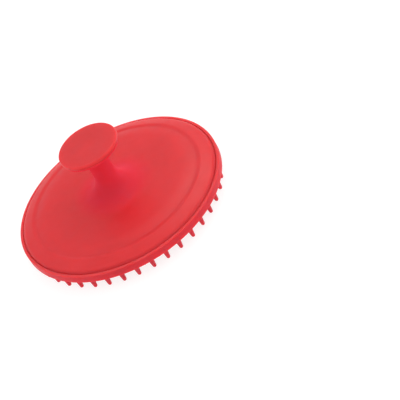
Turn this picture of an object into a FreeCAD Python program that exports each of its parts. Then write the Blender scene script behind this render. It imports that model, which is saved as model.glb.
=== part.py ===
import FreeCAD, Part
import math
import os
import re
import Sketcher

# Scalp massager brush: a round tray of tapered bristles, a shallow domed back with a slim
# trumpet-shaped neck, and a flat round knob whose stem snaps into the hollow neck.
# Frame: +Z points up through the knob, the bristle tips stand on z = 0, and the origin is on the
# brush's axis. Lengths are in millimetres, slopes in degrees below the horizontal.

DIMENSIONS = {
    # the tray that carries the bristles
    "plate_radius": 45.0,
    "plate_thickness": 2.4,
    "rim_depth": 3.3,
    "rim_edge_round": 0.35,
    "groove_edge_round": 0.2,
    "rim_crest_round": 0.45,
    "lip_width_below": 1.1,
    "lip_width_above": 1.2,
    "face_recess": 1.2,          # from the rim's lower edge up to the bristle face
    "web_thickness": 1.6,        # under the groove
    "groove_width": 0.15,        # between the lip and the shell's foot
    "spigot_clearance": 0.15,
    # the domed back, from its foot inwards
    "wall": 1.4,
    "foot_width": 3.3,
    "foot_rise": 0.4,
    "foot_slope": 66.0,
    "roll_radius": 42.0,
    "roll_slope": 22.0,
    "bend_radius": 38.6,
    "bend_slope": 18.0,
    "ledge_radius": 37.2,
    "ledge_slope": -6.0,           # below zero: it dips towards the axis
    "shoulder_radius": 35.6,
    "shoulder_slope": 18.0,
    "crown_radius": 30.0,
    "crown_slope": 4.0,
    "inner_roll_drop": 0.9,
    # the trumpet neck and its seat for the knob
    "neck_radius": 4.7,
    "flare_radius": 9.5,
    "funnel_radius": 7.2,
    "bore_radius": 3.2,
    "bore_shoulder": 4.8,        # from the top of the flare down to the bore's lower end
    "seat_radius": 12.4,
    "seat_thickness": 0.8,
    # the knob cap
    "total_height": 37.1,
    "knob_radius": 12.9,
    "knob_thickness": 1.9,
    "knob_edge_round": 0.6,
    "running_gap": 0.1,          # between the cap and its seat, and over the barb
    "stem_clearance": 0.05,
    "barb_radius": 3.7,
    "barb_depth": 1.2,
    "barb_taper": 1.6,
    "barb_nose_radius": 2.6,
    "slot_width": 1.2,
    "slot_depth": 6.5,
    # the bristles
    "bristle_reach": 5.0,        # beyond the rim's lower edge
    "outer_ring_radius": 42.7,
    "ring_spacing": 4.3,
    "bristle_pitch": 6.5,
    "bristle_root_radius": 1.25,
    "bristle_tip_radius": 0.8,
    "bristle_tip_rise": 0.73,
}
RING_COUNT = 10

# Radii and heights worked out from the dimensions.
RIM_TOP = "bristle_reach + rim_depth"
FACE = "bristle_reach + face_recess"
GROOVE_FLOOR = FACE + " + web_thickness"
PLATE_TOP = FACE + " + plate_thickness"
FOOT_RADIUS = "plate_radius - lip_width_above - groove_width"
INNER_FOOT_RADIUS = FOOT_RADIUS + " - foot_width"
SPIGOT_RADIUS = INNER_FOOT_RADIUS + " - spigot_clearance"
BASE_RADIUS = "neck_radius + flare_radius"
SEAT_TOP = "total_height - knob_thickness - running_gap"
FUNNEL_START = SEAT_TOP + " - seat_thickness - funnel_radius"


def climb(height, outer_radius, inner_radius, outer_slope, inner_slope):
    """The height where an arc ends that leaves and arrives at the two slopes."""
    return "%s + (%s - %s) * tan((%s + %s) * 0.5 deg)" % (
        height, outer_radius, inner_radius, outer_slope, inner_slope)


FOOT_TOP = GROOVE_FLOOR + " + foot_rise"
ROLL = climb(FOOT_TOP, "(%s)" % FOOT_RADIUS, "roll_radius", "foot_slope", "roll_slope")
BEND = climb(ROLL, "roll_radius", "bend_radius", "roll_slope", "bend_slope")
LEDGE = climb(BEND, "bend_radius", "ledge_radius", "bend_slope", "ledge_slope")
SHOULDER = climb(LEDGE, "ledge_radius", "shoulder_radius", "ledge_slope", "shoulder_slope")
CROWN = climb(SHOULDER, "shoulder_radius", "crown_radius", "shoulder_slope", "crown_slope")
BASE = climb(CROWN, "crown_radius", "(%s)" % BASE_RADIUS, "crown_slope", "0")
FLARE_TOP = BASE + " + flare_radius"
# an arc from slope a to slope b over a run w has the radius w / (sin a - sin b)
ROLL_ARC_RADIUS = "(%s - roll_radius) / (sin(foot_slope * 1 deg) - sin(roll_slope * 1 deg))" % FOOT_RADIUS
ROLL_CENTRE = "%s - %s * cos(foot_slope * 1 deg)" % (FOOT_TOP, ROLL_ARC_RADIUS)
BORE_END = FLARE_TOP + " - bore_shoulder"

document = FreeCAD.newDocument("ScalpMassagerBrush")
sheet = document.addObject("Spreadsheet::Sheet", "sizes")
for row, (alias, size) in enumerate(DIMENSIONS.items(), start=1):
    sheet.set("A%d" % row, alias)
    sheet.set("B%d" % row, str(size))
    sheet.setAlias("B%d" % row, alias)
document.recompute()


def cells(formula):
    """Point each dimension's name in a formula at its cell in the sheet."""
    return re.sub(r"[a-z]\w*", lambda name: ("sizes." if name[0] in DIMENSIONS else "") + name[0], formula)


def number(formula):
    """The value that a formula has with the sheet's present sizes."""
    return float(sheet.evalExpression(cells(formula)))


class Outline:
    """A closed outline in a body's XZ plane, each corner tied to the sheet by two formulas."""

    def __init__(self, body, label, shift=None):
        self.sketch = body.newObject("Sketcher::SketchObject", label)
        plane = next(f for f in body.Origin.OriginFeatures if f.Role == "XZ_Plane")
        self.sketch.AttachmentSupport = [(plane, "")]
        self.sketch.MapMode = "FlatFace"
        if shift:
            self.sketch.setExpression("AttachmentOffset.Base.x", cells(shift))
        self.first = None
        self.last = None
        self.corner = None

    def start(self, across, height):
        self.corner = FreeCAD.Vector(number(across), number(height), 0)
        self.origin = (across, height)

    def _tie(self, geometry, end, across, height):
        """Hold one end of a line or an arc at its two formulas."""
        for kind, formula in (("DistanceX", across), ("DistanceY", height)):
            if formula == "0":
                axis = -2 if kind == "DistanceX" else -1
                self.sketch.addConstraint(Sketcher.Constraint("PointOnObject", geometry, end, axis))
                continue
            rule = self.sketch.addConstraint(
                Sketcher.Constraint(kind, -1, 1, geometry, end, number(formula)))
            self.sketch.setExpression("Constraints[%d]" % rule, cells(formula))

    def _join(self, curve, across, height, smooth):
        """Add a line or an arc after the last one, and return its sketch index."""
        target = FreeCAD.Vector(number(across), number(height), 0)
        index = self.sketch.addGeometry(curve, False)
        begins = (self.sketch.Geometry[index].StartPoint - self.corner).Length < 1e-6
        start, end = (1, 2) if begins else (2, 1)
        if self.last is None:
            self.first = (index, start)
        else:
            kind = "Tangent" if smooth else "Coincident"
            self.sketch.addConstraint(Sketcher.Constraint(kind, *self.last, index, start))
        self.last = (index, end)
        self.corner = target
        if (across, height) == self.origin:
            self.sketch.addConstraint(Sketcher.Constraint("Coincident", *self.last, *self.first))
        self._tie(index, end, across, height)
        return index

    def line(self, across, height, smooth=False):
        target = FreeCAD.Vector(number(across), number(height), 0)
        self._join(Part.LineSegment(self.corner, target), across, height, smooth)

    def arc(self, across, height, turn, smooth=True):
        """An arc that turns left by so many degrees, tangent to what comes before it."""
        target = FreeCAD.Vector(number(across), number(height), 0)
        chord = target - self.corner
        sagitta = math.tan(math.radians(turn) / 4) / 2
        middle = self.corner + chord / 2 + FreeCAD.Vector(chord.y, -chord.x, 0) * sagitta
        ends = (self.corner, target) if turn > 0 else (target, self.corner)
        return self._join(Part.Arc(ends[0], middle, ends[1]), across, height, smooth)

    def hold_centre_height(self, arc, height):
        """Fix an arc that isn't tangent to its neighbours by the height of its centre."""
        rule = self.sketch.addConstraint(
            Sketcher.Constraint("DistanceY", -1, 1, arc, 3, number(height)))
        self.sketch.setExpression("Constraints[%d]" % rule, cells(height))


def new_body(label):
    body = document.addObject("PartDesign::Body", label)
    body.Label = label
    return body


def revolve(body, outline):
    """Turn an outline about the vertical axis of its own sketch."""
    turned = body.newObject("PartDesign::Revolution", body.Label + "_turned")
    turned.Profile = outline.sketch
    turned.ReferenceAxis = (outline.sketch, ["V_Axis"])
    turned.Angle = 360
    outline.sketch.Visibility = False
    document.recompute()
    return turned


def make_knob_cap():
    """Flat round knob, a stem through the neck's bore, and a split barb under the bore's end."""
    stem = "bore_radius - stem_clearance"
    underside = "total_height - knob_thickness"
    barb_top = BORE_END + " - running_gap"
    barb_low = barb_top + " - barb_depth"
    nose = barb_low + " - barb_taper"
    body = new_body("knob_cap")
    outline = Outline(body, "knob_cap_half_section")
    outline.start("0", "total_height")
    outline.line("0", nose)
    outline.line("barb_nose_radius", nose)
    outline.line("barb_radius", barb_low)
    outline.line("barb_radius", barb_top)
    outline.line(stem, barb_top)
    outline.line(stem, underside)
    outline.line("knob_radius - knob_edge_round", underside)
    outline.arc("knob_radius", underside + " + knob_edge_round", 90)
    outline.line("knob_radius", "total_height - knob_edge_round")
    outline.arc("knob_radius - knob_edge_round", "total_height", 90)
    outline.line("0", "total_height")
    revolve(body, outline)

    slot = Outline(body, "stem_slot")
    slot.start("0 - slot_width / 2", nose + " - 1")
    slot.line("slot_width / 2", nose + " - 1")
    slot.line("slot_width / 2", nose + " + slot_depth")
    slot.line("0 - slot_width / 2", nose + " + slot_depth")
    slot.line("0 - slot_width / 2", nose + " - 1")
    cut = body.newObject("PartDesign::Pocket", "stem_split")
    cut.Profile = slot.sketch
    cut.Type = "ThroughAll"
    cut.Midplane = True
    document.recompute()
    return body


def make_back_shell():
    """Domed back, trumpet neck and knob seat in one hollow moulding."""
    funnel_axis = "neck_radius + funnel_radius"
    inner_funnel = "(neck_radius + funnel_radius - bore_radius)"
    mouth_rise = "(seat_thickness + funnel_radius)"
    mouth = "%s - sqrt(%s^2 - %s^2)" % (funnel_axis, inner_funnel, mouth_rise)
    inner_flare = "(flare_radius + wall)"
    cavity = "%s - sqrt(%s^2 - bore_shoulder^2)" % (BASE_RADIUS, inner_flare)
    cavity_turn = math.degrees(math.acos(number("bore_shoulder / " + inner_flare)))
    mouth_turn = math.degrees(math.asin(number(mouth_rise + " / " + inner_funnel)))
    body = new_body("back_shell")
    outline = Outline(body, "back_shell_half_section")
    outline.start(INNER_FOOT_RADIUS, GROOVE_FLOOR)
    outline.line(FOOT_RADIUS, GROOVE_FLOOR)
    outline.line(FOOT_RADIUS, FOOT_TOP)
    roll = outline.arc("roll_radius", ROLL, number("foot_slope - roll_slope"), smooth=False)
    outline.hold_centre_height(roll, ROLL_CENTRE)
    outline.arc("bend_radius", BEND, number("roll_slope - bend_slope"))
    outline.arc("ledge_radius", LEDGE, number("bend_slope - ledge_slope"))
    outline.arc("shoulder_radius", SHOULDER, number("ledge_slope - shoulder_slope"))
    outline.arc("crown_radius", CROWN, number("shoulder_slope - crown_slope"))
    outline.arc(BASE_RADIUS, BASE, number("crown_slope"))
    outline.arc("neck_radius", FLARE_TOP, -90)
    outline.line("neck_radius", FUNNEL_START)
    outline.arc(funnel_axis, FUNNEL_START + " + funnel_radius", -90)
    outline.line("seat_radius", FUNNEL_START + " + funnel_radius")
    outline.line("seat_radius", SEAT_TOP)
    outline.line(mouth, SEAT_TOP)
    centre = outline.arc("bore_radius", FUNNEL_START, mouth_turn, smooth=False)
    outline.hold_centre_height(centre, FUNNEL_START)
    outline.line("bore_radius", BORE_END)
    outline.line(cavity, BORE_END)
    centre = outline.arc(BASE_RADIUS, BASE + " - wall", cavity_turn, smooth=False)
    outline.hold_centre_height(centre, FLARE_TOP)
    outline.arc("crown_radius", CROWN + " - wall", number("0 - crown_slope"))
    outline.arc("shoulder_radius", SHOULDER + " - wall", number("crown_slope - shoulder_slope"))
    outline.line("ledge_radius", LEDGE + " - wall")
    outline.line(INNER_FOOT_RADIUS, LEDGE + " - wall - inner_roll_drop")
    outline.line(INNER_FOOT_RADIUS, GROOVE_FLOOR)
    revolve(body, outline)
    return body


def make_bristle_plate():
    """Tray with a rounded lip, a groove inside it, and a raised middle that fits the shell's foot."""
    inner_lip = "plate_radius - lip_width_below"
    groove_wall = "plate_radius - lip_width_above"
    low = "bristle_reach"
    body = new_body("bristle_plate")
    outline = Outline(body, "bristle_plate_half_section")
    outline.start("0", FACE)
    outline.line(inner_lip, FACE)
    outline.line(inner_lip, low + " + rim_edge_round")
    outline.arc(inner_lip + " + rim_edge_round", low, 90)
    outline.line("plate_radius - rim_edge_round", low)
    outline.arc("plate_radius", low + " + rim_edge_round", 90)
    outline.line("plate_radius", RIM_TOP + " - rim_crest_round")
    outline.arc("plate_radius - rim_crest_round", RIM_TOP, 90)
    outline.line(groove_wall + " + groove_edge_round", RIM_TOP)
    outline.arc(groove_wall, RIM_TOP + " - groove_edge_round", 90)
    outline.line(groove_wall, GROOVE_FLOOR)
    outline.line(SPIGOT_RADIUS, GROOVE_FLOOR)
    outline.line(SPIGOT_RADIUS, PLATE_TOP)
    outline.line("0", PLATE_TOP)
    outline.line("0", FACE)
    revolve(body, outline)
    return body


def make_bristle_ring(place):
    """One ring of tapered, round-tipped bristles; every second ring starts half a pitch round."""
    radius = "(outer_ring_radius - ring_spacing * %d)" % (place - 1)
    count = "round(2 * pi * %s / bristle_pitch)" % radius
    body = new_body("bristle_ring_%02d" % place)
    outline = Outline(body, "bristle_%02d_half_section" % place, shift=radius)
    outline.start("0", FACE)
    outline.line("0", "0")
    tip = outline.arc("bristle_tip_radius", "bristle_tip_rise", 85, smooth=False)
    outline.sketch.addConstraint(Sketcher.Constraint("PointOnObject", tip, 3, -2))
    outline.line("bristle_root_radius", FACE)
    outline.line("0", FACE)
    bristle = revolve(body, outline)

    ring = body.newObject("PartDesign::PolarPattern", body.Label + "_all_round")
    ring.Originals = [bristle]
    ring.Axis = (next(f for f in body.Origin.OriginFeatures if f.Role == "Z_Axis"), [""])
    ring.Angle = 360
    ring.setExpression("Occurrences", cells(count))
    body.Tip = ring
    body.Placement = FreeCAD.Placement(FreeCAD.Vector(), FreeCAD.Rotation(FreeCAD.Vector(0, 0, 1), 1))
    half_pitches = (place + 1) % 2
    body.setExpression("Placement.Rotation.Angle", cells("%d * 180 deg / %s" % (half_pitches, count)))
    document.recompute()
    return body


def check(bodies):
    """Stop if any object of the document failed or any sub-part has no sound solid."""
    for item in document.Objects:
        if set(item.State) & {"Invalid", "Error"}:
            raise RuntimeError("%s failed: %s" % (item.Name, item.State))
    for body in bodies:
        if body.Shape.isNull() or not body.Shape.isValid() or not body.Shape.Solids:
            raise RuntimeError("%s has no valid solid" % body.Label)


parts = [make_knob_cap(), make_back_shell(), make_bristle_plate()]
parts += [make_bristle_ring(place) for place in range(1, RING_COUNT + 1)]
document.recompute()
check(parts)
os.makedirs("parts", exist_ok=True)
for part in parts:
    part.Shape.exportStep("parts/%s.step" % part.Label)
    print("%-16s %3d solids %9.1f mm3" % (part.Label, len(part.Shape.Solids), part.Shape.Volume))
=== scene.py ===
import math
import random

import bmesh
import bpy
from mathutils import Matrix, Vector


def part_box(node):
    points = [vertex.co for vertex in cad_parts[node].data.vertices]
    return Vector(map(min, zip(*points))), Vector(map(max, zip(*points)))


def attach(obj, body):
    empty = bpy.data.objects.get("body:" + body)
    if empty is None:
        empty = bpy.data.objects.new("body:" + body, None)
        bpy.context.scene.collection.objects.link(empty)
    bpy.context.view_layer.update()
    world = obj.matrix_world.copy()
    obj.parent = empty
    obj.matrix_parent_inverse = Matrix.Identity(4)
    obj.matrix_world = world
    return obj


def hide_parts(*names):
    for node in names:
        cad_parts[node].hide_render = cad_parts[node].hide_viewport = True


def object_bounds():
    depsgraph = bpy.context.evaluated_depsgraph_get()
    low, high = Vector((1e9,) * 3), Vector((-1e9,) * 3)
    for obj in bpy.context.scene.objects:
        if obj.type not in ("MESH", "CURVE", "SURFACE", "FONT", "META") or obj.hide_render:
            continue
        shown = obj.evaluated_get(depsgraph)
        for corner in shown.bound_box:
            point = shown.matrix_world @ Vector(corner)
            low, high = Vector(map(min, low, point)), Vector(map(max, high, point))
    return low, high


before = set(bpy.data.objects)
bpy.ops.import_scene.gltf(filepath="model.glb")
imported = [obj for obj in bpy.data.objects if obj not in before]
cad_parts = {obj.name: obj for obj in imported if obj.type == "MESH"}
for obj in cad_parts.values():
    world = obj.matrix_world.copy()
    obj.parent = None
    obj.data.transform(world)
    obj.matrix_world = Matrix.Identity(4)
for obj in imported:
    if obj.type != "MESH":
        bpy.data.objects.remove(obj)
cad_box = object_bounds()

MM = 0.001

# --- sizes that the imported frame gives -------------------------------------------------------
PLATE_LOW, PLATE_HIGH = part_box("bristle_plate")
SHELL_LOW, SHELL_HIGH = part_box("back_shell")
KNOB_LOW, KNOB_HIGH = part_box("knob_cap")
RING_LOW, RING_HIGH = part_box("bristle_ring_01")
RIM_RADIUS = PLATE_HIGH.x
RIM_LOW = PLATE_LOW.z
RIM_TOP = PLATE_HIGH.z
FACE = RING_HIGH.z                  # the flat face that the bristles stand on
FOOT_RADIUS = SHELL_HIGH.x
GROOVE_FLOOR = SHELL_LOW.z
SEAT_TOP = SHELL_HIGH.z
KNOB_RADIUS = KNOB_HIGH.x
STEM_END = KNOB_LOW.z
KNOB_TOP = KNOB_HIGH.z
RING_NODES = sorted(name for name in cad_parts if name.startswith("bristle_ring"))

# --- the moulded shapes' own sizes, the same as in the CAD -----------------------------------
WALL = 1.4 * MM
GROOVE_WIDTH = 0.15 * MM
LIP_BELOW = 1.1 * MM
PLATE_THICKNESS = 2.4 * MM
SPIGOT_CLEARANCE = 0.15 * MM
NECK_RADIUS = 4.7 * MM
FLARE_RADIUS = 9.5 * MM
FUNNEL_RADIUS = 7.2 * MM
BORE_RADIUS = 3.2 * MM
BORE_SHOULDER = 4.8 * MM
SEAT_RADIUS = 12.4 * MM
SEAT_THICKNESS = 0.8 * MM
KNOB_THICKNESS = 1.9 * MM
STEM_RADIUS = 3.15 * MM
BARB_RADIUS = 3.7 * MM
BARB_NOSE_RADIUS = 2.6 * MM
BARB_DEPTH = 1.2 * MM
BARB_TAPER = 1.6 * MM
INNER_ROLL_DROP = 0.9 * MM
FOOT_WIDTH = 3.3 * MM
FOOT_RISE = 0.4 * MM
FOOT_SLOPE = 66.0
# radius and slope, in degrees below the horizontal, where the back's arcs meet
BACK_JOINTS = (
    (42.0 * MM, 22.0),
    (38.6 * MM, 18.0),
    (37.2 * MM, -6.0),
    (35.6 * MM, 18.0),
    (30.0 * MM, 4.0),
)
LEDGE, SHOULDER, CROWN = 2, 3, 4    # the joints that the back's inside follows
BRISTLE_ROOT_RADIUS = 1.25 * MM
BRISTLE_TIP_RADIUS = 0.8 * MM
BRISTLE_TIP_RISE = 0.73 * MM

# --- how far the corners are rounded off -----------------------------------------------------
FOOT_CORNER = 0.05 * MM
FOOT_EDGE = 0.3 * MM
SEAT_EDGE = 0.2 * MM
FACE_CORNER = 0.25 * MM
LIP_EDGE = 0.35 * MM
RIM_EDGE = 0.45 * MM
GROOVE_EDGE = 0.2 * MM
GROOVE_CORNER = 0.15 * MM
SPIGOT_EDGE = 0.2 * MM
BARB_NOSE_EDGE = 0.3 * MM
BARB_EDGE = 0.2 * MM
BARB_STEP_EDGE = 0.15 * MM
STEM_CORNER = 0.3 * MM
KNOB_EDGE = 0.6 * MM

# --- finer points of the bristles and meshes -------------------------------------------------
BRISTLE_FILLET = 0.5 * MM           # how far the fillet at the root spreads
BRISTLE_FILLET_RISE = 0.7 * MM      # and how tall it is
BRISTLE_FILLET_TURN = 60            # degrees
BRISTLE_FILLET_START = 0.97         # the share of the root's radius where the fillet starts
BRISTLE_SINK = 0.02 * MM            # how far a bristle's closed end reaches into the plate
BRISTLE_TIP_TURN = 85               # degrees that the rounded tip's arc turns
BRISTLE_LEAN = 0.5                  # degrees, the spread of each bristle's own lean
BRISTLE_SEED = 41
TIP_SLICE = 0.02 * MM               # CAD vertices this near the tips' plane are a bristle's lowest
TIP_CELL = 2.0 * MM                 # they are gathered in cells of this size
SAME_TIP = 1.5 * MM                 # cells nearer than this hold the same bristle
TURNS = 288                         # facets round the large mouldings
BRISTLE_TURNS = 20
FACE_RINGS = (0.2, 0.4, 0.6, 0.8)   # extra rings on the plate's face, as shares of its radius
KNOB_RING = 0.6                     # and one on the knob's top
ON_AXIS = 1e-7                      # a radius below this is on the axis

# --- the camera, at the photograph's viewing angle -------------------------------------------
CAMERA_AZIMUTH = math.radians(3.5)
CAMERA_ELEVATION = math.radians(37.66)
CAMERA_ROLL = math.radians(30.77)
CAMERA_DISTANCE = 0.7075
CAMERA_TARGET = 5.5 * MM            # the height that it is aimed near
CAMERA_RIGHT = 0.0323
CAMERA_UP = -0.0005
LENS = 155.2
SENSOR_WIDTH = 36.0
NEAR_CLIP = 0.01

# --- the plastics ----------------------------------------------------------------------------
# Painted light is a second colour that takes over by distance from the axis or by height:
# "radius" or "height", where it is full, where it is gone, the colour, the extra roughness.
# The back gets painted shade, a deeper crimson round the stem, and the plate's lip a painted highlight,
# paler on its crest.
# painted shade: a deeper, duller crimson round the stem, where the knob shadows the back and blocks its
# reflection
PAINTED_NECK_SHADE = ("radius", 9.0 * MM, 20.0 * MM, (0.97, 0.022, 0.053), 0.4)
# painted highlight: a paler band along the plate lip's crest, where it catches the light
PAINTED_CREST_HIGHLIGHT = ("height", RIM_TOP - 0.1 * MM, RIM_TOP - 0.6 * MM, (0.74, 0.052, 0.062), 0.0)
# colour, roughness, shine (the specular level), painted light
KNOB_PLASTIC = ((0.71, 0.027, 0.035), 0.42, 0.34, None)
BACK_PLASTIC = ((0.84, 0.018, 0.027), 0.44, 0.42, PAINTED_NECK_SHADE)
PLATE_PLASTIC = ((0.67, 0.023, 0.039), 0.55, 0.25, PAINTED_CREST_HIGHLIGHT)
BRISTLE_PLASTIC = ((0.53, 0.028, 0.050), 0.50, 0.25, None)
PLASTIC_IOR = 1.49
SCATTER_DEPTH = 5.0 * MM
SCATTER_REACH = (1.0, 0.12, 0.10)   # how far red, green and blue travel, as shares of the depth
# each noise: scale in waves per metre, detail, roughness
FLOW_NOISE = (55.0, 3.0, 0.5)       # slow flow marks in the colour
GLOSS_NOISE = (240.0, 4.0, 0.6)     # patches of more and less gloss
WAVE_NOISE = (70.0, 1.0, 0.5)       # the slight unevenness of a moulded wall
SKIN_NOISE = (1600.0, 2.0, 0.5)     # the mould's fine texture
FLOW_RANGE = (0.32, 0.68)           # where the noise is darkest and lightest
FLOW_TINTS = (0.94, 1.05)           # and how dark and light that is
GLOSS_RANGE = (0.3, 0.7)
GLOSS_SPREAD = (-0.05, 0.06)        # added to the roughness at the two ends of that range
# each bump: strength, height
WAVE_BUMP = (0.12, 1.2 * MM)
SKIN_BUMP = (0.05, 0.1 * MM)

# --- floor and light -------------------------------------------------------------------------
FLOOR_HALF_WIDTH = 3.0
FLOOR_SHADES = (0.21, 0.23)
FLOOR_MOTTLE = 3.0                  # the noise's scale, in waves per metre
FLOOR_ROUGHNESS = 0.7
FLOOR_GLOW = 0.85                   # lifts the floor to white, so that shadows stay faint
# name, azimuth from +X towards +Y, elevation, distance, size, power
LAMPS = (
    ("key", 350.0, 62.0, 1.2, 1.4, 3.5),
    ("back", 52.0, 50.0, 1.2, 0.6, 2.6),
    ("left", 165.0, 50.0, 1.2, 1.0, 1.1),
    ("right", 5.0, 32.0, 1.2, 0.4, 0.7),
    ("front", 285.0, 12.0, 1.2, 0.8, 0.4),
)
LAMP_COLOUR = (1.0, 0.95, 0.86)
# bright at the horizon and high up, dim between: (sine of elevation, strength)
SKY = ((0.0, 1.0), (0.25, 0.42), (0.5, 0.6), (0.75, 0.9), (1.0, 0.6))


def make_camera():
    """A long lens beside the brush's own line of sight, rolled as the brush leans in the picture."""
    a, e, roll = CAMERA_AZIMUTH, CAMERA_ELEVATION, CAMERA_ROLL
    towards = Vector((math.sin(a) * math.cos(e), -math.cos(a) * math.cos(e), math.sin(e)))
    level = Vector((math.cos(a), math.sin(a), 0.0))
    upright = towards.cross(level)
    right = math.cos(roll) * level - math.sin(roll) * upright
    up = math.sin(roll) * level + math.cos(roll) * upright
    centre = Vector((0.0, 0.0, CAMERA_TARGET))
    place = centre + right * CAMERA_RIGHT + up * CAMERA_UP + towards * CAMERA_DISTANCE
    data = bpy.data.cameras.new("camera")
    data.lens = LENS
    data.sensor_width = SENSOR_WIDTH
    data.clip_start = NEAR_CLIP
    camera = bpy.data.objects.new("camera", data)
    camera.matrix_world = Matrix.Translation(place) @ Matrix((right, up, towards)).transposed().to_4x4()
    bpy.context.scene.collection.objects.link(camera)
    bpy.context.scene.camera = camera


# --- outlines and turned meshes --------------------------------------------------------------
class Outline:
    """A half-section as a list of (radius, height) points, drawn corner by corner."""

    def __init__(self, radius, height):
        self.points = [Vector((radius, height))]
        self.rounds = [0.0]

    def line(self, radius, height, round_off=0.0):
        """Go straight to a corner, which is later rounded off by the radius given."""
        self.points.append(Vector((radius, height)))
        self.rounds.append(round_off)

    def arc(self, radius, height, turn, steps=8):
        """Go round to a point along an arc that turns left by so many degrees."""
        start = self.points[-1]
        end = Vector((radius, height))
        chord = end - start
        side = Vector((chord.y, -chord.x))
        half = math.radians(turn) / 2
        for step in range(1, steps + 1):
            share = step / steps
            swing = half * (2 * share - 1)
            along = 0.5 + math.sin(swing) / (2 * math.sin(half))
            out = (math.cos(swing) - math.cos(half)) / (2 * math.sin(half))
            self.points.append(start + chord * along + side * out)
            self.rounds.append(0.0)
        self.points[-1] = end

    def rounded(self, steps=4, most=0.45):
        """The points, with each marked corner replaced by a small arc.

        A rounding takes up at most the given share of the lines on its two sides.
        """
        result = []
        last = len(self.points) - 1
        for index, (corner, size) in enumerate(zip(self.points, self.rounds)):
            if size == 0.0 or index in (0, last):
                result.append(corner)
                continue
            before = self.points[index - 1] - corner
            after = self.points[index + 1] - corner
            half = before.angle(after) / 2
            reach = min(size / math.tan(half), before.length * most, after.length * most)
            start = corner + before.normalized() * reach
            end = corner + after.normalized() * reach
            for step in range(steps + 1):
                share = step / steps
                first = start.lerp(corner, share)
                painted_colour = corner.lerp(end, share)
                result.append(first.lerp(painted_colour, share))
        return result


def turned_mesh(name, outline, facets, closed=True):
    """Turn a half-section about Z. Points on the axis become one vertex."""
    mesh = bmesh.new()
    rings = []
    for point in outline.rounded():
        if abs(point.x) < ON_AXIS:
            rings.append([mesh.verts.new((0.0, 0.0, point.y))])
            continue
        ring = []
        for facet in range(facets):
            angle = 2 * math.pi * facet / facets
            ring.append(mesh.verts.new((point.x * math.cos(angle), point.x * math.sin(angle), point.y)))
        rings.append(ring)
    pairs = list(zip(rings, rings[1:]))
    if closed:
        pairs.append((rings[-1], rings[0]))
    for low, high in pairs:
        for facet in range(facets):
            after = (facet + 1) % facets
            if len(low) == 1 and len(high) == 1:
                break
            if len(low) == 1:
                mesh.faces.new((low[0], high[after], high[facet]))
            elif len(high) == 1:
                mesh.faces.new((low[facet], low[after], high[0]))
            else:
                mesh.faces.new((low[facet], low[after], high[after], high[facet]))
    bmesh.ops.recalc_face_normals(mesh, faces=mesh.faces)
    data = bpy.data.meshes.new(name)
    mesh.to_mesh(data)
    mesh.free()
    data.shade_smooth()
    return data


def add_piece(name, data, material, body, slot, *nodes):
    """Link a finished mesh, give it its material, and tie it to the frame."""
    piece = bpy.data.objects.new(name, data)
    bpy.context.scene.collection.objects.link(piece)
    data.materials.append(material)
    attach(piece, body)
    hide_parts(*nodes)


# --- the pieces ------------------------------------------------------------------------------
def climb(height, outer, inner, outer_slope, inner_slope):
    """The height where an arc ends that leaves and arrives at the two slopes."""
    return height + (outer - inner) * math.tan(math.radians(outer_slope + inner_slope) / 2)


def back_heights():
    """The heights of the back's joints, and of the flare's foot."""
    heights = []
    radius, slope, height = FOOT_RADIUS, FOOT_SLOPE, GROOVE_FLOOR + FOOT_RISE
    for next_radius, next_slope in BACK_JOINTS:
        height = climb(height, radius, next_radius, slope, next_slope)
        heights.append(height)
        radius, slope = next_radius, next_slope
    base = climb(height, radius, NECK_RADIUS + FLARE_RADIUS, slope, 0.0)
    return heights, base


def shell_outline():
    """Back shell: out along the foot, up over the back, neck and seat, and down the inside."""
    heights, base = back_heights()
    base_radius = NECK_RADIUS + FLARE_RADIUS
    flare_top = base + FLARE_RADIUS
    funnel_start = SEAT_TOP - SEAT_THICKNESS - FUNNEL_RADIUS
    funnel_axis = NECK_RADIUS + FUNNEL_RADIUS
    inner_foot = FOOT_RADIUS - FOOT_WIDTH
    outline = Outline(inner_foot, GROOVE_FLOOR)
    outline.line(FOOT_RADIUS, GROOVE_FLOOR, FOOT_CORNER)
    outline.line(FOOT_RADIUS, GROOVE_FLOOR + FOOT_RISE, FOOT_EDGE)
    slope = FOOT_SLOPE
    for (radius, next_slope), height in zip(BACK_JOINTS, heights):
        outline.arc(radius, height, slope - next_slope, steps=10)
        slope = next_slope
    outline.arc(base_radius, base, slope)
    outline.arc(NECK_RADIUS, flare_top, -90, steps=20)
    outline.line(NECK_RADIUS, funnel_start)
    outline.arc(funnel_axis, funnel_start + FUNNEL_RADIUS, -90, steps=18)
    outline.line(SEAT_RADIUS, funnel_start + FUNNEL_RADIUS, SEAT_EDGE)
    outline.line(SEAT_RADIUS, SEAT_TOP, SEAT_EDGE)
    inner_funnel = funnel_axis - BORE_RADIUS
    mouth_rise = SEAT_TOP - funnel_start
    mouth_radius = funnel_axis - math.sqrt(inner_funnel ** 2 - mouth_rise ** 2)
    outline.line(mouth_radius, SEAT_TOP)
    outline.arc(BORE_RADIUS, funnel_start, math.degrees(math.asin(mouth_rise / inner_funnel)))
    outline.line(BORE_RADIUS, flare_top - BORE_SHOULDER)
    inner_flare = FLARE_RADIUS + WALL
    shoulder_radius = base_radius - math.sqrt(inner_flare ** 2 - BORE_SHOULDER ** 2)
    outline.line(shoulder_radius, flare_top - BORE_SHOULDER)
    outline.arc(base_radius, base - WALL, math.degrees(math.acos(BORE_SHOULDER / inner_flare)))
    crown_radius, crown_slope = BACK_JOINTS[CROWN]
    outline.arc(crown_radius, heights[CROWN] - WALL, -crown_slope, steps=4)
    outline.line(BACK_JOINTS[SHOULDER][0], heights[SHOULDER] - WALL)
    outline.line(BACK_JOINTS[LEDGE][0], heights[LEDGE] - WALL)
    outline.line(inner_foot, heights[LEDGE] - WALL - INNER_ROLL_DROP)
    return outline


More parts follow.
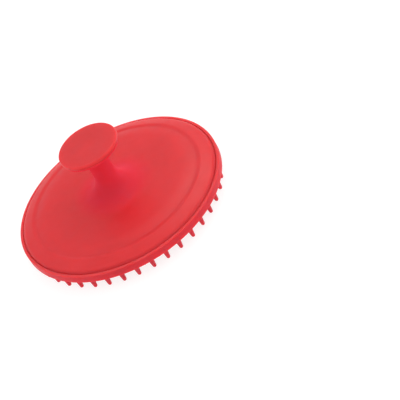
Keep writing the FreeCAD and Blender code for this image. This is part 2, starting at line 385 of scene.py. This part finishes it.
def plate_outline():
    """Bristle plate: out along its face, round the lip, down into the groove and over the middle."""
    lip = RIM_RADIUS - LIP_BELOW
    groove_wall = FOOT_RADIUS + GROOVE_WIDTH
    spigot = FOOT_RADIUS - FOOT_WIDTH - SPIGOT_CLEARANCE
    outline = Outline(0.0, FACE)
    for share in FACE_RINGS:
        outline.line(lip * share, FACE)
    outline.line(lip, FACE, FACE_CORNER)
    outline.line(lip, RIM_LOW, LIP_EDGE)
    outline.line(RIM_RADIUS, RIM_LOW, LIP_EDGE)
    outline.line(RIM_RADIUS, RIM_TOP, RIM_EDGE)
    outline.line(groove_wall, RIM_TOP, GROOVE_EDGE)
    outline.line(groove_wall, GROOVE_FLOOR, GROOVE_CORNER)
    outline.line(spigot, GROOVE_FLOOR)
    outline.line(spigot, FACE + PLATE_THICKNESS, SPIGOT_EDGE)
    outline.line(0.0, FACE + PLATE_THICKNESS)
    return outline


def knob_outline():
    """Knob cap: from the stem's nose out over the barb, up the stem, and round the flat knob."""
    underside = KNOB_TOP - KNOB_THICKNESS
    barb_low = STEM_END + BARB_TAPER
    outline = Outline(0.0, STEM_END)
    outline.line(BARB_NOSE_RADIUS, STEM_END, BARB_NOSE_EDGE)
    outline.line(BARB_RADIUS, barb_low, BARB_EDGE)
    outline.line(BARB_RADIUS, barb_low + BARB_DEPTH, BARB_STEP_EDGE)
    outline.line(STEM_RADIUS, barb_low + BARB_DEPTH)
    outline.line(STEM_RADIUS, underside, STEM_CORNER)
    outline.line(KNOB_RADIUS, underside, KNOB_EDGE)
    outline.line(KNOB_RADIUS, KNOB_TOP, KNOB_EDGE)
    outline.line(KNOB_RADIUS * KNOB_RING, KNOB_TOP)
    outline.line(0.0, KNOB_TOP)
    return outline


def bristle_outline():
    """One bristle from its rounded tip up to the small fillet where it meets the plate."""
    root = BRISTLE_ROOT_RADIUS
    outline = Outline(0.0, 0.0)
    outline.arc(BRISTLE_TIP_RADIUS, BRISTLE_TIP_RISE, BRISTLE_TIP_TURN, steps=5)
    outline.line(BRISTLE_TIP_RADIUS + (root - BRISTLE_TIP_RADIUS) * 0.5, FACE * 0.5)
    outline.line(root * BRISTLE_FILLET_START, FACE - BRISTLE_FILLET_RISE)
    outline.arc(root + BRISTLE_FILLET, FACE + BRISTLE_SINK, -BRISTLE_FILLET_TURN, steps=5)
    outline.line(0.0, FACE + BRISTLE_SINK)
    return outline


def bristle_places(node):
    """Where the bristles of one CAD ring stand: the middles of their lowest vertices."""
    cells = {}
    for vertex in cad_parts[node].data.vertices:
        if vertex.co.z < TIP_SLICE:
            key = (round(vertex.co.x / TIP_CELL), round(vertex.co.y / TIP_CELL))
            cells.setdefault(key, []).append(vertex.co.copy())
    merged = []
    for group in cells.values():
        middle = sum(group, Vector()) / len(group)
        near = next((m for m in merged if (m[0] / m[1] - middle).length < SAME_TIP), None)
        if near:
            near[0] += middle
            near[1] += 1
        else:
            merged.append([middle.copy(), 1])
    return [Vector((total.x / count, total.y / count, 0.0)) for total, count in merged]


def make_bristles(material):
    """Each ring is one mesh; every bristle leans a little its own way about its root."""
    draw = random.Random(BRISTLE_SEED)
    pattern = turned_mesh("bristle_pattern", bristle_outline(), BRISTLE_TURNS, closed=False)
    root = Vector((0.0, 0.0, FACE))
    for node in RING_NODES:
        ring = bmesh.new()
        for place in bristle_places(node):
            lean = Matrix.Rotation(math.radians(draw.gauss(0.0, BRISTLE_LEAN)), 4, "X")
            lean = lean @ Matrix.Rotation(math.radians(draw.gauss(0.0, BRISTLE_LEAN)), 4, "Y")
            start = len(ring.verts)
            ring.from_mesh(pattern)
            ring.verts.ensure_lookup_table()
            for vertex in ring.verts[start:]:
                vertex.co = lean @ (vertex.co - root) + root + place
        data = bpy.data.meshes.new(node + "_moulded")
        ring.to_mesh(data)
        ring.free()
        data.shade_smooth()
        add_piece(node + "_moulded", data, material, "head", "bristle_plastic", node)
    bpy.data.meshes.remove(pattern)


# --- materials -------------------------------------------------------------------------------
def new_material(name):
    """A material with its nodes, links and Principled shader."""
    material = bpy.data.materials.new(name)
    material.use_nodes = True
    tree = material.node_tree
    return material, tree.nodes, tree.links, tree.nodes["Principled BSDF"]


def add_noise(nodes, links, place, scale, detail, rough):
    """Noise laid through the object, so that it is the same from all sides."""
    node = nodes.new("ShaderNodeTexNoise")
    node.inputs["Scale"].default_value = scale
    node.inputs["Detail"].default_value = detail
    node.inputs["Roughness"].default_value = rough
    links.new(place.outputs["Object"], node.inputs["Vector"])
    return node.outputs["Fac"]


def add_range(nodes, links, value, ends, results, smooth=False):
    """The value, spread so that the two ends of its range become the two results."""
    node = nodes.new("ShaderNodeMapRange")
    if smooth:
        node.interpolation_type = "SMOOTHSTEP"
    node.inputs["From Min"].default_value, node.inputs["From Max"].default_value = ends
    node.inputs["To Min"].default_value, node.inputs["To Max"].default_value = results
    links.new(value, node.inputs["Value"])
    return node.outputs["Result"]


def add_bump(nodes, links, height, strength, distance, below=None):
    """A bump that stands on the one below, if there is one."""
    node = nodes.new("ShaderNodeBump")
    node.inputs["Strength"].default_value = strength
    node.inputs["Distance"].default_value = distance
    links.new(height, node.inputs["Height"])
    if below:
        links.new(below, node.inputs["Normal"])
    return node.outputs["Normal"]


def add_painted_light(nodes, links, place, colour, gloss, painted_light):
    """The colour and gloss, with the painted light's colour and roughness where it takes over."""
    measure, full, gone, painted_colour, dulling = painted_light
    mask = nodes.new("ShaderNodeVectorMath")
    mask.operation = "MULTIPLY"
    mask.inputs[1].default_value = (1.0, 1.0, 0.0) if measure == "radius" else (0.0, 0.0, 1.0)
    links.new(place.outputs["Object"], mask.inputs[0])
    reach = nodes.new("ShaderNodeVectorMath")
    reach.operation = "LENGTH"
    links.new(mask.outputs["Vector"], reach.inputs[0])
    painted_share = add_range(nodes, links, reach.outputs["Value"], (full, gone), (1.0, 0.0), smooth=True)
    blend = nodes.new("ShaderNodeMix")
    blend.data_type = "RGBA"
    blend.inputs["B"].default_value = (*painted_colour, 1.0)
    links.new(painted_share, blend.inputs["Factor"])
    links.new(colour, blend.inputs["A"])
    dull = nodes.new("ShaderNodeMath")
    dull.operation = "MULTIPLY_ADD"
    dull.inputs[1].default_value = dulling
    links.new(painted_share, dull.inputs[0])
    links.new(gloss, dull.inputs[2])
    return blend.outputs["Result"], dull.outputs["Value"]


def red_plastic(name, colour, roughness, shine, painted_light):
    """Satin moulded plastic: faint flow marks in the colour, uneven gloss, a fine skin and any painted
    light given.
    """
    material, nodes, links, shader = new_material(name)
    shader.inputs["IOR"].default_value = PLASTIC_IOR
    shader.inputs["Subsurface Weight"].default_value = 1.0
    shader.inputs["Subsurface Radius"].default_value = SCATTER_REACH
    shader.inputs["Subsurface Scale"].default_value = SCATTER_DEPTH
    shader.inputs["Specular IOR Level"].default_value = shine
    place = nodes.new("ShaderNodeTexCoord")

    tint = nodes.new("ShaderNodeValToRGB")
    for stop, position, share in zip(tint.color_ramp.elements, FLOW_RANGE, FLOW_TINTS):
        stop.position = position
        stop.color = [min(1.0, c * share) for c in colour] + [1.0]
    links.new(add_noise(nodes, links, place, *FLOW_NOISE), tint.inputs["Fac"])
    shown = tint.outputs["Color"]
    patches = add_noise(nodes, links, place, *GLOSS_NOISE)
    gloss = add_range(nodes, links, patches, GLOSS_RANGE, [roughness + s for s in GLOSS_SPREAD])
    # the painted shade round the neck and the painted highlight on the lip's crest go on here
    if painted_light:
        shown, gloss = add_painted_light(nodes, links, place, shown, gloss, painted_light)
    links.new(shown, shader.inputs["Base Color"])
    links.new(gloss, shader.inputs["Roughness"])

    waves = add_bump(nodes, links, add_noise(nodes, links, place, *WAVE_NOISE), *WAVE_BUMP)
    skin = add_bump(nodes, links, add_noise(nodes, links, place, *SKIN_NOISE), *SKIN_BUMP, waves)
    links.new(skin, shader.inputs["Normal"])
    return material


def plain_floor():
    """Matt grey with a barely visible mottle, lifted to white by a glow of its own."""
    material, nodes, links, shader = new_material("floor")
    shader.inputs["Roughness"].default_value = FLOOR_ROUGHNESS
    shader.inputs["Emission Color"].default_value = (1.0, 1.0, 1.0, 1.0)
    shader.inputs["Emission Strength"].default_value = FLOOR_GLOW
    mottle = nodes.new("ShaderNodeTexNoise")
    mottle.inputs["Scale"].default_value = FLOOR_MOTTLE
    shade = nodes.new("ShaderNodeValToRGB")
    for stop, grey in zip(shade.color_ramp.elements, FLOOR_SHADES):
        stop.color = (grey, grey, grey, 1.0)
    links.new(mottle.outputs["Fac"], shade.inputs["Fac"])
    links.new(shade.outputs["Color"], shader.inputs["Base Color"])
    return material


# --- the surroundings ------------------------------------------------------------------------
def make_floor():
    """A wide plain sheet at the height of the bristle tips."""
    mesh = bmesh.new()
    bmesh.ops.create_grid(mesh, x_segments=1, y_segments=1, size=FLOOR_HALF_WIDTH)
    data = bpy.data.meshes.new("floor")
    mesh.to_mesh(data)
    mesh.free()
    floor = bpy.data.objects.new("floor", data)
    floor.location.z = cad_box[0][2]
    data.materials.append(plain_floor())
    bpy.context.scene.collection.objects.link(floor)


def make_softbox(name, azimuth, elevation, distance, size, power):
    """A square lamp that faces the brush, its azimuth counted from +X towards +Y."""
    a, e = math.radians(azimuth), math.radians(elevation)
    away = Vector((math.cos(a) * math.cos(e), math.sin(a) * math.cos(e), math.sin(e)))
    data = bpy.data.lights.new(name, "AREA")
    data.shape = "SQUARE"
    data.size = size
    data.energy = power
    data.color = LAMP_COLOUR
    lamp = bpy.data.objects.new(name, data)
    lamp.location = away * distance + Vector((0.0, 0.0, RIM_TOP))
    lamp.rotation_euler = away.to_track_quat("Z", "Y").to_euler()
    bpy.context.scene.collection.objects.link(lamp)


def make_light():
    """A sky of soft grey bands, and the lamps."""
    world = bpy.data.worlds.new("studio")
    world.use_nodes = True
    nodes = world.node_tree.nodes
    links = world.node_tree.links
    direction = nodes.new("ShaderNodeTexCoord")
    height = nodes.new("ShaderNodeSeparateXYZ")
    links.new(direction.outputs["Generated"], height.inputs["Vector"])
    bands = nodes.new("ShaderNodeValToRGB")
    brightest = max(strength for sine, strength in SKY)
    stops = bands.color_ramp.elements
    while len(stops) < len(SKY):
        stops.new(1.0)
    for stop, (sine, strength) in zip(stops, SKY):
        stop.position = sine
        stop.color = (strength / brightest,) * 3 + (1.0,)
    links.new(height.outputs["Z"], bands.inputs["Fac"])
    links.new(bands.outputs["Color"], nodes["Background"].inputs["Color"])
    nodes["Background"].inputs["Strength"].default_value = brightest
    bpy.context.scene.world = world
    for lamp in LAMPS:
        make_softbox(*lamp)
    bpy.context.scene.view_settings.view_transform = "Standard"


make_camera()
make_floor()
make_light()
knob_red = red_plastic("knob_plastic", *KNOB_PLASTIC)
back_red = red_plastic("back_plastic", *BACK_PLASTIC)
plate_red = red_plastic("plate_plastic", *PLATE_PLASTIC)
bristle_red = red_plastic("bristle_plastic", *BRISTLE_PLASTIC)
add_piece("knob_cap_moulded", turned_mesh("knob_cap_moulded", knob_outline(), TURNS, closed=False),
          knob_red, "knob", "knob_plastic", "knob_cap")
add_piece("back_shell_moulded", turned_mesh("back_shell_moulded", shell_outline(), TURNS),
          back_red, "head", "shell_plastic", "back_shell")
add_piece("bristle_plate_moulded",
          turned_mesh("bristle_plate_moulded", plate_outline(), TURNS, closed=False),
          plate_red, "head", "plate_plastic", "bristle_plate")
make_bristles(bristle_red)
